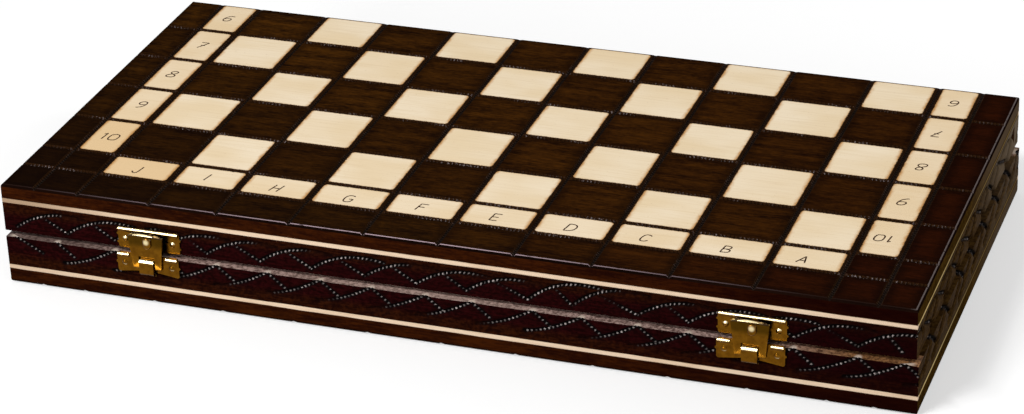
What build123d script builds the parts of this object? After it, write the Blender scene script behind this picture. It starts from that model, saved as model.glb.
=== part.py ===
"""Folding draughts box: two shallow wooden trays whose outsides are the two halves of a
ten by ten playing board, hung on two butt hinges and shut by two swing latches."""

import os
from math import asin, cos, radians, sin

from build123d import *

os.makedirs("parts", exist_ok=True)

# The playing board, measured between the middles of its grooves
pitch = 33.0
columns = 10
rows_per_half = 5
side_label_width = 19.8
side_border_width = 16.0
front_label_depth = 17.9
front_border_depth = 20.7
hinge_row_depth = 29.1
groove_width = 2.4
groove_depth = 1.1

# The closed case
case_height = 46.0
seam_gap = 1.6
lid_setback = 2.6
lid_sidestep = 1.4
panel_thickness = 6.5
wall_thickness = 9.0
arris = 1.2
inlay_height = 2.2
inlay_depth = 2.0

# Butt hinges, their leaves lying in the seam
hinge_x = (-130.0, 130.0)
leaf_thickness = 0.7
leaf_length = 32.0
leaf_reach = 7.0
leaf_corner = 1.0
knuckle_radius = 2.0
knuckle_length = 11.4
knuckle_gap = 0.3
knuckle_relief = 0.4
pin_radius = 0.8
pin_play = 0.05
hinge_nail_x = 11.0
hinge_nail_inset = 4.6

# Swing latches on the front; heights are measured from the lever's pivot
latch_x = (-132.4, 133.2)
pivot_z = 17.4
sheet = 0.8
eye_radius = 0.75
bar_radius = 0.55
plate_width = 28.6
plate_corner = 1.0
nib_radius = 0.7
nib_spacing = 4.0
bead_radius = 0.9
bead_length = 27.6
base_plate_top = 5.7
base_plate_bottom = -3.5
strike_top = 15.7
strike_bottom = 6.7
tongue_width = 6.6
tongue_drop = 3.2
tongue_end_angle = 75.0
lever_foot_width = 13.0
lever_head_width = 16.2
lever_side_gap = 0.5
window_width = 7.4
window_top = 2.8
flare_start = 12.4
flare_radius = 2.4
flare_angle = 65.0
flare_straight = 0.9
crown_drop = 2.2
dimple_z = 10.0
dimple_width = 3.8
dimple_height = 5.8
dimple_rise = 1.3
dimple_round = 1.1
dimple_wall = 0.6
stud_width = 3.0
stud_height = 5.0
stud_chamfer = 0.6
stud_play = 0.25

# Round-headed nails for the latches, flush ones for the hinges
nail_shank = 0.9
nail_head_radius = 1.3
nail_head_height = 0.6
latch_nail_length = 7.0
latch_nail_x = 11.0
strike_nail_z = 11.0
base_nail_z = 1.0
hinge_nail_length = 9.0
hinge_nail_head_radius = 1.4
hinge_nail_sides = 12

# Sizes that follow from those above
half_width = columns * pitch + 2 * (side_label_width + side_border_width)
rows_depth = (rows_per_half - 1) * pitch + hinge_row_depth
half_depth = front_border_depth + front_label_depth + rows_depth
half_height = (case_height - seam_gap) / 2
wall_height = half_height - panel_thickness
inlay_middle = wall_height - inlay_height / 2
seam_z = case_height / 2

turn = radians(flare_angle)
flare_rise = flare_radius * sin(turn) + flare_straight * cos(turn)
flare_reach = flare_radius * (1 - cos(turn)) + flare_straight * sin(turn)
lever_top = flare_start + flare_rise + sheet / 2 * sin(turn)
lever_reach = flare_reach + sheet / 2 * cos(turn)
pivot_offset = eye_radius + sheet

overall_width = half_width + lid_sidestep
overall_depth = lever_reach + pivot_offset + lid_setback + half_depth + knuckle_radius
base_front = lever_reach + pivot_offset - overall_depth / 2
base_back = base_front + half_depth
lid_front = base_front + lid_setback
lid_back = lid_front + half_depth
pivot_y = base_front - pivot_offset
hinge_y = lid_back

board_edge = columns * pitch / 2
column_lines = [-board_edge + pitch * line for line in range(columns + 1)]
column_lines += [-board_edge - side_label_width, board_edge + side_label_width]
first_row = front_border_depth + front_label_depth
row_lines = [front_border_depth] + [first_row + pitch * line for line in range(rows_per_half)]


def save(piece, name):
    """Label a finished piece and write its file."""
    piece.part.label = name
    export_step(piece.part, f"parts/{name}.step")


def facing_front(x, y, z):
    """A plane across the case: its X to the right, its Y up, its normal to the front."""
    return Plane(origin=(x, y, z), x_dir=(1, 0, 0), z_dir=(0, -1, 0))


def facing_right(x, y, z):
    """A plane from front to back: its X to the rear, its Y up, its normal to the right."""
    return Plane(origin=(x, y, z), x_dir=(0, 1, 0), z_dir=(1, 0, 0))


# Board panels: one board each, with a V groove along every line of squares
def groove_profile(up):
    over = 1.0
    half_mouth = groove_width / 2 * (groove_depth + over) / groove_depth
    Polygon((0, -up * groove_depth), (half_mouth, up * over), (-half_mouth, up * over), align=None)


def make_panel(half, face_z, middle_x, front_y, up):
    with BuildPart() as panel:
        with BuildSketch(Plane.XY.offset(face_z)):
            with Locations((middle_x, front_y + half_depth / 2)):
                Rectangle(half_width, half_depth)
        extrude(amount=-up * panel_thickness)
        flat_faces = panel.faces().filter_by(Axis.Z).sort_by(Axis.Z)
        playing_face = flat_faces[-1] if up > 0 else flat_faces[0]
        chamfer(playing_face.edges(), arris)
        with BuildSketch(facing_front(middle_x, front_y, face_z)):
            with Locations(*[(x, 0) for x in column_lines]):
                groove_profile(up)
        extrude(amount=-half_depth, mode=Mode.SUBTRACT)
        with BuildSketch(facing_right(middle_x, front_y, face_z)):
            with Locations(*[(y, 0) for y in row_lines]):
                groove_profile(up)
        extrude(amount=half_width / 2, both=True, mode=Mode.SUBTRACT)
    save(panel, f"{half}_board_panel")


# Walls: battens with a rebate along the panel for the inlay that covers the glue line
def wall_plane(outer_point, inward, up):
    """A wall's cross-section plane: its X inward from the outer face, its Y from rim to panel."""
    return Plane(origin=outer_point, x_dir=inward, z_dir=Vector(*inward).cross(Vector(0, 0, up)))


def wall_section():
    with Locations((wall_thickness / 2, wall_height / 2)):
        Rectangle(wall_thickness, wall_height)
    with Locations((inlay_depth / 2, inlay_middle)):
        Rectangle(inlay_depth, inlay_height, mode=Mode.SUBTRACT)


def make_inlay(name, section, length):
    with BuildPart() as inlay:
        with BuildSketch(section):
            with Locations((inlay_depth / 2, inlay_middle)):
                Rectangle(inlay_depth, inlay_height)
        extrude(amount=length / 2, both=True)
    save(inlay, name)


def make_long_wall(half, side, middle_x, outer_y, inward, rim_z, up):
    section = wall_plane((middle_x, outer_y, rim_z), (0, inward, 0), up)
    with BuildPart() as wall:
        with BuildSketch(section):
            wall_section()
        extrude(amount=half_width / 2, both=True)
        # The end inlays run on past the ends of this wall
        with BuildSketch(Plane.XY.offset(rim_z + up * wall_height)):
            with Locations((middle_x, outer_y + inward * wall_thickness / 2)):
                Rectangle(half_width, wall_thickness)
                Rectangle(half_width - 2 * inlay_depth, wall_thickness, mode=Mode.SUBTRACT)
        extrude(amount=-up * inlay_height, mode=Mode.SUBTRACT)
        if side == "back" and up > 0:
            relief_length = leaf_length + 2 * knuckle_relief
            for x in hinge_x:
                with BuildSketch(facing_right(x, hinge_y, seam_z)):
                    Circle(knuckle_radius + knuckle_relief)
                extrude(amount=relief_length / 2, both=True, mode=Mode.SUBTRACT)
    save(wall, f"{half}_{side}_wall")
    make_inlay(f"{half}_{side}_inlay", section, half_width)


def make_end_wall(half, side, outer_x, inward, middle_y, rim_z, up):
    section = wall_plane((outer_x, middle_y, rim_z), (inward, 0, 0), up)
    with BuildPart() as wall:
        with BuildSketch(section):
            wall_section()
        extrude(amount=half_depth / 2 - wall_thickness, both=True)
    save(wall, f"{half}_{side}_wall")
    make_inlay(f"{half}_{side}_inlay", section, half_depth - 2 * inlay_depth)


def nail_columns(middles, offset):
    """The X of each nail: one either side of every fitting's middle."""
    return [middle + side * offset for middle in middles for side in (-1, 1)]


def make_half(half, face_z, middle_x, front_y, up):
    """One tray of the case: a board panel outside, four walls and four inlays."""
    rim_z = seam_z + up * seam_gap / 2
    middle_y = front_y + half_depth / 2
    make_panel(half, face_z, middle_x, front_y, up)
    make_long_wall(half, "front", middle_x, front_y, 1, rim_z, up)
    make_long_wall(half, "back", middle_x, front_y + half_depth, -1, rim_z, up)
    make_end_wall(half, "left", middle_x - half_width / 2, 1, middle_y, rim_z, up)
    make_end_wall(half, "right", middle_x + half_width / 2, -1, middle_y, rim_z, up)


make_half("lid", case_height, -lid_sidestep / 2, lid_front, 1)
make_half("base", 0.0, lid_sidestep / 2, base_front, -1)


# Hinges: a flat leaf on each rim, with knuckles round the pin at its rear edge
def make_leaf(name, x, back_y, knuckle_middles, length, up):
    rim_z = seam_z + up * seam_gap / 2
    front_edge = back_y - leaf_reach
    rear_edge = hinge_y - knuckle_radius - knuckle_relief
    with BuildPart() as leaf:
        with BuildSketch(Plane.XY.offset(rim_z)) as outline:
            with Locations((x, (front_edge + rear_edge) / 2)):
                Rectangle(leaf_length, rear_edge - front_edge)
            with Locations(*[(x + middle, (rear_edge + hinge_y) / 2) for middle in knuckle_middles]):
                Rectangle(length, hinge_y - rear_edge)
            chamfer(outline.vertices().group_by(Axis.Y)[0], leaf_corner)
        extrude(amount=-up * leaf_thickness)
        for middle in knuckle_middles:
            with BuildSketch(facing_right(x + middle, hinge_y, seam_z)):
                Circle(knuckle_radius)
            extrude(amount=length / 2, both=True)
        with BuildSketch(facing_right(x, hinge_y, seam_z)):
            Circle(pin_radius + pin_play)
        extrude(amount=leaf_length / 2, both=True, mode=Mode.SUBTRACT)
        nail_y = back_y - hinge_nail_inset
        with BuildSketch(Plane.XY.offset(rim_z)):
            with Locations(*[(nail_x, nail_y) for nail_x in nail_columns((x,), hinge_nail_x)]):
                RegularPolygon(hinge_nail_head_radius, hinge_nail_sides)
        extrude(amount=-up * leaf_thickness, mode=Mode.SUBTRACT)
    save(leaf, name)


def make_pin(name, x):
    with BuildPart() as pin:
        with BuildSketch(facing_right(x, hinge_y, seam_z)):
            Circle(pin_radius)
        extrude(amount=leaf_length / 2, both=True)
    save(pin, name)


def make_hinge_nails(name, back_y, up):
    """The flush nails of both hinges, driven up into the lid or down into the base."""
    rim_z = seam_z + up * seam_gap / 2
    places = [(x, back_y - hinge_nail_inset) for x in nail_columns(hinge_x, hinge_nail_x)]
    with BuildPart() as nails:
        with BuildSketch(Plane.XY.offset(rim_z)):
            with Locations(*places):
                RegularPolygon(hinge_nail_head_radius, hinge_nail_sides)
        extrude(amount=-up * leaf_thickness)
        with BuildSketch(Plane.XY.offset(rim_z)):
            with Locations(*places):
                Rectangle(nail_shank, nail_shank)
        extrude(amount=up * hinge_nail_length)
    save(nails, name)


outer_knuckle = (leaf_length - knuckle_length) / 2 - knuckle_gap
outer_middle = (leaf_length - outer_knuckle) / 2
for side, x in zip(("left", "right"), hinge_x):
    make_leaf(f"{side}_hinge_lid_leaf", x, lid_back, [0], knuckle_length, 1)
    make_leaf(f"{side}_hinge_base_leaf", x, base_back, [-outer_middle, outer_middle], outer_knuckle, -1)
    make_pin(f"{side}_hinge_pin", x)
make_hinge_nails("hinge_lid_nails", lid_back, 1)
make_hinge_nails("hinge_base_nails", base_back, -1)


# Latches: a strike on the lid, a plate with a folded tongue on the base, and a lever between
def plate_outline(bottom, top, nib_heights):
    middle = (top + bottom) / 2
    with Locations((0, middle)):
        RectangleRounded(plate_width, top - bottom, plate_corner)
    edge = plate_width / 2
    with Locations(*[(end * edge, middle + height) for end in (-1, 1) for height in nib_heights]):
        RegularPolygon(nib_radius, 6)


def make_strike(name, x):
    """The lid's plate: a bead rolled along its top edge, and a raised stud for the lever."""
    stud_length = lid_front - sheet - (pivot_y + sheet / 2 + stud_play)
    with BuildPart() as strike:
        with BuildSketch(facing_front(x, lid_front, pivot_z)):
            plate_outline(strike_bottom, strike_top, (-nib_spacing / 2, nib_spacing / 2))
            with Locations((-latch_nail_x, strike_nail_z), (latch_nail_x, strike_nail_z)):
                Rectangle(nail_shank, nail_shank, mode=Mode.SUBTRACT)
        extrude(amount=sheet)
        with BuildSketch(facing_right(x, lid_front - bead_radius, pivot_z + strike_top - bead_radius)):
            Circle(bead_radius)
        extrude(amount=bead_length / 2, both=True)
        with BuildSketch(facing_front(x, lid_front - sheet, pivot_z + dimple_z)):
            SlotOverall(stud_height, stud_width, rotation=90)
        extrude(amount=stud_length)
        chamfer(strike.faces().filter_by(Axis.Y).sort_by(Axis.Y)[0].edges(), stud_chamfer)
    save(strike, name)


def make_base_plate(name, x):
    """The base's plate: its tongue folds up from the bottom edge and curls over the lever's bar."""
    tongue_radius = eye_radius + sheet / 2
    bead_inner = lever_head_width / 2 + lever_side_gap
    bead_outer = bead_length / 2
    bead_middle = (bead_inner + bead_outer) / 2
    with BuildPart() as plate:
        with BuildSketch(facing_front(x, base_front, pivot_z)):
            plate_outline(base_plate_bottom, base_plate_top, (0,))
            with Locations((-latch_nail_x, base_nail_z), (latch_nail_x, base_nail_z)):
                Rectangle(nail_shank, nail_shank, mode=Mode.SUBTRACT)
        extrude(amount=sheet)
        for end in (-1, 1):
            bead_z = pivot_z + base_plate_top - bead_radius
            with BuildSketch(facing_right(x + end * bead_middle, base_front - bead_radius, bead_z)):
                Circle(bead_radius)
            extrude(amount=(bead_outer - bead_inner) / 2, both=True)
        with BuildSketch(facing_right(x, pivot_y, pivot_z)):
            with BuildLine():
                Line((tongue_radius, base_plate_bottom + sheet), (tongue_radius, -tongue_drop))
                CenterArc((0, -tongue_drop), tongue_radius, 0, -180)
                Line((-tongue_radius, -tongue_drop), (-tongue_radius, 0))
                CenterArc((0, 0), tongue_radius, 180, tongue_end_angle - 180)
            trace(line_width=sheet)
        extrude(amount=tongue_width / 2, both=True)
    save(plate, name)


def make_lever(name, x):
    """The lever: flared at the top for a finger, dimpled over the stud, on a round bar below."""
    half_foot, half_head = lever_foot_width / 2, lever_head_width / 2
    shoulder = lever_top - crown_drop
    with BuildPart() as lever:
        with BuildSketch(facing_right(x, pivot_y, pivot_z)):
            with BuildLine():
                Line((0, 0), (0, flare_start))
                bend = CenterArc((-flare_radius, flare_start), flare_radius, 0, flare_angle)
                PolarLine(bend @ 1, flare_straight, 90 + flare_angle)
            trace(line_width=sheet)
        extrude(amount=half_head, both=True)
        with BuildSketch(facing_front(x, pivot_y, pivot_z)):
            with BuildLine():
                Line((-half_foot, 0), (half_foot, 0))
                Line((half_foot, 0), (half_head, shoulder))
                ThreePointArc((half_head, shoulder), (0, lever_top), (-half_head, shoulder))
                Line((-half_head, shoulder), (-half_foot, 0))
            make_face()
            Rectangle(window_width, 2 * window_top, mode=Mode.SUBTRACT)
        extrude(amount=lever_reach, both=True, mode=Mode.INTERSECT)
        with BuildSketch(facing_right(x, pivot_y, pivot_z)):
            Circle(bar_radius)
        extrude(amount=half_foot, both=True)
        with BuildSketch(facing_front(x, pivot_y, pivot_z + dimple_z)):
            SlotOverall(dimple_height, dimple_width, rotation=90)
        extrude(amount=sheet / 2 + dimple_rise)
        dimple_face = lever.faces().filter_by(Axis.Y).sort_by(Axis.Y)[0]
        fillet(dimple_face.edges(), dimple_round)
        with BuildSketch(facing_front(x, pivot_y + sheet / 2, pivot_z + dimple_z)):
            SlotOverall(dimple_height - 2 * dimple_wall, dimple_width - 2 * dimple_wall, rotation=90)
        extrude(amount=sheet + dimple_rise - dimple_wall, mode=Mode.SUBTRACT)
    save(lever, name)


def make_latch_nails(name, face_y, nail_z):
    """The four round-headed nails that hold the lid's strikes or the base's plates."""
    cap_radius = (nail_head_radius**2 + nail_head_height**2) / (2 * nail_head_height)
    half_turn = asin(nail_head_radius / cap_radius) / 2
    cap_middle = (cap_radius * (1 - cos(half_turn)) - nail_head_height, cap_radius * sin(half_turn))
    with BuildPart() as nails:
        for x in nail_columns(latch_x, latch_nail_x):
            seat = (x, face_y - sheet, nail_z)
            with BuildSketch(facing_right(*seat)):
                with BuildLine():
                    ThreePointArc((-nail_head_height, 0), cap_middle, (0, nail_head_radius))
                    Polyline((0, nail_head_radius), (0, 0), (-nail_head_height, 0))
                make_face()
            revolve(axis=Axis(seat, (0, 1, 0)))
            with BuildSketch(facing_front(*seat)):
                Rectangle(nail_shank, nail_shank)
            extrude(amount=-(sheet + latch_nail_length))
    save(nails, name)


for side, x in zip(("left", "right"), latch_x):
    make_strike(f"{side}_latch_strike", x)
    make_base_plate(f"{side}_latch_plate", x)
    make_lever(f"{side}_latch_lever", x)
make_latch_nails("latch_lid_nails", lid_front, pivot_z + strike_nail_z)
make_latch_nails("latch_base_nails", base_front, pivot_z + base_nail_z)

print(f"case {overall_width:.1f} x {overall_depth:.2f} x {case_height:.1f} mm")
print(f"lid hinge axis y {hinge_y:.3f}, z {seam_z:.3f}")
print(f"lever pivots x {latch_x}, y {pivot_y:.3f}, z {pivot_z:.3f}")
print(f"lid from y {lid_front:.3f} to {lid_back:.3f}, base from {base_front:.3f} to {base_back:.3f}")
print(f"lever rises {lever_top:.3f} above its pivot")
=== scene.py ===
# %% [markdown]
# This lesson dresses a folding draughts box: two shallow wooden trays whose outsides are the
# two halves of a ten by ten board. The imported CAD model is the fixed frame. It says where
# every piece is and how it moves, so nothing here is fitted by eye. Lengths are written in
# millimetres, as on a workshop drawing, and become metres when a piece is finished.

# %% Load the fixed frame
import random
from math import hypot, pi, radians, sin

import bmesh
import bpy
from mathutils import Matrix, Vector
from mathutils.kdtree import KDTree


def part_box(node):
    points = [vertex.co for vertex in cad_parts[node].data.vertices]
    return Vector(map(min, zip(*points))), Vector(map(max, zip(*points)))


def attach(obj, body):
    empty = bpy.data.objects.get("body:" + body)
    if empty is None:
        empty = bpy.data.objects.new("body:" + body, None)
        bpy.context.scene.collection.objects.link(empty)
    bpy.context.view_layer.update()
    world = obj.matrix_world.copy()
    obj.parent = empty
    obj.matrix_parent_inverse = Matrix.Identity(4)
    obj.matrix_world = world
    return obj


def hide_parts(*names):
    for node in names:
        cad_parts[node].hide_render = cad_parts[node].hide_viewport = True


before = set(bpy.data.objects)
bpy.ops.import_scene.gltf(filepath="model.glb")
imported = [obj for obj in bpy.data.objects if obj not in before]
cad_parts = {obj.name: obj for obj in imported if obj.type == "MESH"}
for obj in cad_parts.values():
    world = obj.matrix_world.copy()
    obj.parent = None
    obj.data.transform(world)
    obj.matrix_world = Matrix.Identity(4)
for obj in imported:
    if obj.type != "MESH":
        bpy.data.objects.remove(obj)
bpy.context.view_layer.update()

# %% [markdown]
# The camera stands where the photographer stood: a long lens, a little to the right of the
# box and about 28 degrees above it. The direction comes from the crossings of the board's
# grid in the photograph. A camera looks along its own -Z, so the third column of its
# rotation is the view direction turned round.

# %% Camera at the photograph's angle
scene = bpy.context.scene


def add_object(name, data):
    thing = bpy.data.objects.new(name, data)
    scene.collection.objects.link(thing)
    return thing


camera_data = bpy.data.cameras.new("camera")
camera_data.lens = 112.1
camera_data.sensor_width = 36.0
camera = add_object("camera", camera_data)
to_right = Vector((0.94316, 0.33064, -0.03344))
upwards = Vector((-0.12572, 0.44813, 0.88508))
ahead = Vector((-0.30763, 0.83057, -0.46423))
camera_place = Vector((0.4287, -1.1673, 0.666))
camera_turn = Matrix((to_right, upwards, -ahead)).transposed().to_4x4()
camera.matrix_world = Matrix.Translation(camera_place) @ camera_turn
scene.camera = camera
print("camera at", camera_place[:])

# %% [markdown]
# A finish is a small network of nodes. Wiring it by hand takes many lines, so one class
# wraps a socket and lets plain Python expressions add the Math nodes: 1 - mask works. Another
# class holds the network and adds any other node from one method, settings first.


# %% Shader maths as expressions
class Wire:
    """One output of a finish's network. Arithmetic on it adds Math nodes."""

    def __init__(self, finish, socket):
        self.finish, self.socket = finish, socket

    def __add__(self, other):
        return self.finish.maths("ADD", self, other)

    def __sub__(self, other):
        return self.finish.maths("SUBTRACT", self, other)

    def __mul__(self, other):
        return self.finish.maths("MULTIPLY", self, other)

    def __rsub__(self, other):
        return self.finish.maths("SUBTRACT", other, self)

    def __abs__(self):
        return self.finish.maths("ABSOLUTE", self)

    __radd__, __rmul__ = __add__, __mul__


class Finish:
    """A material, or the world, being wired."""

    def __init__(self, owner):
        owner.use_nodes = True
        self.owner, self.tree = owner, owner.node_tree
        self.tree.nodes.clear()

    def node(self, kind, settings=None, inputs=None, output=0):
        """Add one node: its settings are set first, then its sockets are filled or linked."""
        node = self.tree.nodes.new("ShaderNode" + kind)
        for name, value in (settings or {}).items():
            setattr(node, name, value)
        for name, value in (inputs or {}).items():
            if isinstance(value, Wire):
                self.tree.links.new(value.socket, node.inputs[name])
            else:
                node.inputs[name].default_value = value
        return Wire(self, node.outputs[output]) if node.outputs else None

    def maths(self, operation, *values):
        return self.node("Math", {"operation": operation}, dict(enumerate(values)))

    def vector_maths(self, operation, *vectors, output=0):
        return self.node("VectorMath", {"operation": operation}, dict(enumerate(vectors)), output)

    def parts(self, vector, axes="XY"):
        """A vector's numbers along the named axes."""
        return [self.node("SeparateXYZ", None, {0: vector}, axis) for axis in axes]

    def mix(self, factor, first, second):
        """Between two colours, each a wire, a grey, or as a painter reads it off a screen."""
        first, second = (c if isinstance(c, Wire) else (*paint(c), 1.0) for c in (first, second))
        return self.node("Mix", {"data_type": "RGBA"}, {0: factor, 6: first, 7: second}, 2)

    def step(self, value, low, high):
        """0 at low, 1 at high and smooth between. It falls where low is the larger number."""
        inputs = {"Value": value, "From Min": low, "From Max": high}
        return self.node("MapRange", {"interpolation_type": "SMOOTHSTEP"}, inputs)

    def place(self, stretch=1.0):
        """Object coordinates in millimetres, divided by one stretch, or by one for each axis."""
        stretch = stretch if isinstance(stretch, tuple) else (stretch,) * 3
        scale = tuple(1000.0 / s for s in stretch)
        coordinates = self.node("TexCoord", output="Object")
        return self.node("Mapping", {"vector_type": "POINT"}, {"Vector": coordinates, "Scale": scale})

    def axis(self, name):
        """One of those coordinates, in plain millimetres."""
        return self.parts(self.place(), name)[0]

    def noise(self, stretch, detail=2.0, roughness=0.5):
        """Soft noise, its blotches about as large as the stretch."""
        inputs = {"Vector": self.place(stretch), "Scale": 1.0, "Detail": detail, "Roughness": roughness}
        return self.node("TexNoise", None, inputs, "Fac")

    def own_map(self, name):
        return self.node("UVMap", {"uv_map": name})

    def past_reach(self):
        """How far a point is past its square's coloured part, along each axis of the square."""
        past = self.vector_maths("ABSOLUTE", self.own_map("square"))
        return self.vector_maths("SUBTRACT", past, self.own_map("reach"))

    def attribute(self, name):
        return self.node("Attribute", {"attribute_name": name}, output="Fac")

    def looked_at(self):
        """1 for what the camera sees, straight or by reflection, and 0 for shed light."""
        rays = ("Camera", "Glossy", "Transmission")
        seen = [self.node("LightPath", output=f"Is {ray} Ray") for ray in rays]
        return self.maths("MINIMUM", seen[0] + seen[1] + seen[2], 1.0)

    def bump(self, height, strength, depth=0.0001):
        """A bumpy normal. Its depth is in metres."""
        return self.node("Bump", None, {"Strength": strength, "Distance": depth, "Height": height})

    def surface(self, colour, roughness, specular=0.0, **others):
        """The Principled shader, joined to the material's output."""
        sockets = {"Base Color": colour, "Roughness": roughness, "Specular IOR Level": specular}
        sockets |= {name.replace("_", " "): value for name, value in others.items()}
        shader = self.node("BsdfPrincipled", None, sockets)
        self.node("OutputMaterial", None, {"Surface": shader})
        return self.owner


def new_finish(name):
    return Finish(bpy.data.materials.new(name))


def paint(colour):
    """A grey stays, and a colour read off a screen is made linear, as shaders want it."""
    if isinstance(colour, float):
        return (colour,) * 3
    shares = [c / 255 for c in colour]
    return tuple(c / 12.92 if c <= 0.04045 else ((c + 0.055) / 1.055) ** 2.4 for c in shares)


print("dark stain, linear:", [round(c, 4) for c in paint((44, 22, 7))])

# %% [markdown]
# A product photograph like this has a white sweep, one soft lamp above the front edge, which
# draws the bright line along the board's arris, and a softer one from the left, so the right
# side falls into shade. A small lamp puts the sparks on the brass, and one stands behind. The
# camera and reflections see a white world and floor, and the floor glows a little, so the
# shadow is faint. The light that both shed is grey, so colours come out about as written.

# %% Light and floor
sky = scene.world or bpy.data.worlds.new("sky")
scene.world = sky
sweep = Finish(sky)
brightness = sweep.looked_at() * 0.65 + 0.35
backdrop = sweep.node("Background", None, {"Color": (1.0, 1.0, 1.0, 1.0), "Strength": brightness})
sweep.node("OutputWorld", None, {"Surface": backdrop})


def hang_lamp(name, place, target, size, watts):
    """A rectangular lamp that looks at its target."""
    lamp = bpy.data.lights.new(name, "AREA")
    lamp.shape, lamp.energy = "RECTANGLE", watts
    lamp.size, lamp.size_y = size
    stand = add_object(name, lamp)
    aim = (Vector(target) - Vector(place)).to_track_quat("-Z", "Y").to_matrix().to_4x4()
    stand.matrix_world = Matrix.Translation(place) @ aim


hang_lamp("softbox_over_front", (-0.42, -0.75, 1.2), (0, -0.1, 0.04), (0.5, 0.1), 9.2)
hang_lamp("spark_for_the_brass", (-0.36, -0.75, 1.15), (0, -0.1, 0.04), (0.08, 0.08), 1.4)
hang_lamp("softbox_left", (-0.62, -1.5, 0.42), (0.02, 0, 0.02), (0.6, 0.6), 11.4)
hang_lamp("softbox_behind", (0.9, 0.9, 0.7), (0.1, 0, 0.02), (0.5, 0.4), 6.3)

floor_finish = new_finish("pale_floor")
seen = floor_finish.looked_at()
floor_colour = floor_finish.mix(seen, 0.45, 0.66)
floor_glow = floor_finish.mix(seen, 0.0, 0.42)
floor_material = floor_finish.surface(floor_colour, 0.9, Emission_Color=floor_glow, Emission_Strength=1.0)
just_below = Matrix.Translation((0, 0, -0.0003))
bm = bmesh.new()
bmesh.ops.create_grid(bm, x_segments=2, y_segments=2, size=6.0, matrix=just_below)
floor_mesh = bpy.data.meshes.new("floor")
bm.to_mesh(floor_mesh)
bm.free()
floor_mesh.materials.append(floor_material)
floor = add_object("floor", floor_mesh)
scene.view_settings.view_transform = "Standard"

# %% [markdown]
# Every piece is shaped in a bmesh, in millimetres, and finished the same way: scaled to
# metres, given its materials, sharpened where two faces meet at an angle, and set riding on
# its body. Its object stays at the origin, because its place is in its mesh.


# %% Finishing a piece
def finish_piece(bm, name, body, finishes, stands_for, sharp=30.0):
    """Make an object of a bmesh. Edges of more than sharp degrees stay crisp."""
    bmesh.ops.scale(bm, vec=(0.001, 0.001, 0.001), verts=bm.verts)
    mesh = bpy.data.meshes.new(name)
    bm.to_mesh(mesh)
    bm.free()
    for finish in finishes:
        mesh.materials.append(finish)
    mesh.shade_smooth()
    mesh.set_sharp_from_angle(angle=radians(sharp))
    piece = add_object(name, mesh)
    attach(piece, body)
    if stands_for:
        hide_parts(*stands_for)
    print(f"{name}: {len(mesh.polygons)} faces")
    return piece


def box_mm(node):
    """A CAD node's two corners in millimetres."""
    low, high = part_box(node)
    return low * 1000, high * 1000


def add_block(bm, low, high):
    """A block between two corners, from the unit cube."""
    matrix = Matrix.Translation((low + high) / 2) @ Matrix.Diagonal((*(high - low), 1.0))
    bmesh.ops.create_cube(bm, size=1.0, matrix=matrix)


# %% [markdown]
# The board is one panel of pale wood. The maker burns and rolls a toothed groove along every
# line, then stains the dark squares and the border up to the grooves. The heat leaves a black
# edge and an orange scorch on the pale squares, more of it beside the short grooves than
# beside the long ones. Each square carries its own small map: how far a point is from the
# square's middle, and how far the pale wood reaches.

# %% Pale squares
pale = new_finish("pale_squares")
corner_round = 1.5
inset = pale.vector_maths("ADD", pale.past_reach(), (corner_round, corner_round, 0.0))
past_x, past_y = pale.parts(inset)
outside = pale.vector_maths("MAXIMUM", inset, (0.0, 0.0, 0.0))
outside = pale.vector_maths("LENGTH", outside, output="Value")
within = pale.maths("MINIMUM", pale.maths("MAXIMUM", past_x, past_y), 0.0)
ragged = corner_round - outside - within + (pale.noise(1 / 1.1, 3.0) - 0.5) * 0.7
blackened = pale.step(ragged, 0.35, -0.15)
patchy = pale.step(pale.noise(7.0), 0.2, 0.7)
from_side = corner_round - past_x + (pale.noise((1.5, 3.0, 3.0)) - 0.5) * 1.6
scorched = pale.step(from_side, 2.1, 0.0) * patchy + pale.step(ragged, 0.9, 0.0) * 0.5
scorched = pale.maths("MINIMUM", scorched, 1.0)
specks = pale.step(pale.noise((0.7, 0.5, 0.5), 0.0), 0.78, 0.84)
fibres = pale.noise((26.0, 0.9, 0.9), 4.0, 0.6)
clouds = pale.noise((38.0, 22.0, 22.0))
wood = pale.mix(pale.step(clouds, 0.3, 0.7), (240, 223, 195), (232, 210, 174))
wood = pale.mix(pale.step(fibres, 0.42, 0.75) * 0.4, wood, (216, 190, 150))
wood = pale.mix(specks * 0.45, wood, (150, 112, 76))
wood = pale.mix(pale.attribute("ruddy"), wood, (224, 192, 146))
wood = pale.mix(scorched * 0.85, wood, (186, 132, 70))
wood = pale.mix(blackened, wood, (34, 20, 10))
pale_squares = pale.surface(wood, 0.5, Normal=pale.bump(fibres, 0.15))
print("pale squares:", len(pale.tree.nodes), "nodes")

# %% [markdown]
# The stain is nearly black, but it is thin: blotches and long fibres of warm brown show
# through, and each square took a little more or less of it. That share is an attribute on
# the square's face, so neighbours differ although the grain runs on, and it falls towards the
# front left corner as painted shade. Each square is darker towards its edges. Towards the
# right the wood is darker, and the panel's end grain is paler, a painted sheen that grows
# towards the back. The front arris carries a painted highlight, brightest near its middle,
# over painted shade on the rest of its round, and the right one a thin painted sheen.


# %% Dark stain
def deepen(finish, colour, share, deepest):
    """Darker towards the right of the box."""
    return finish.mix(finish.step(finish.axis("X"), 30.0, 200.0) * share, colour, deepest)


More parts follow.
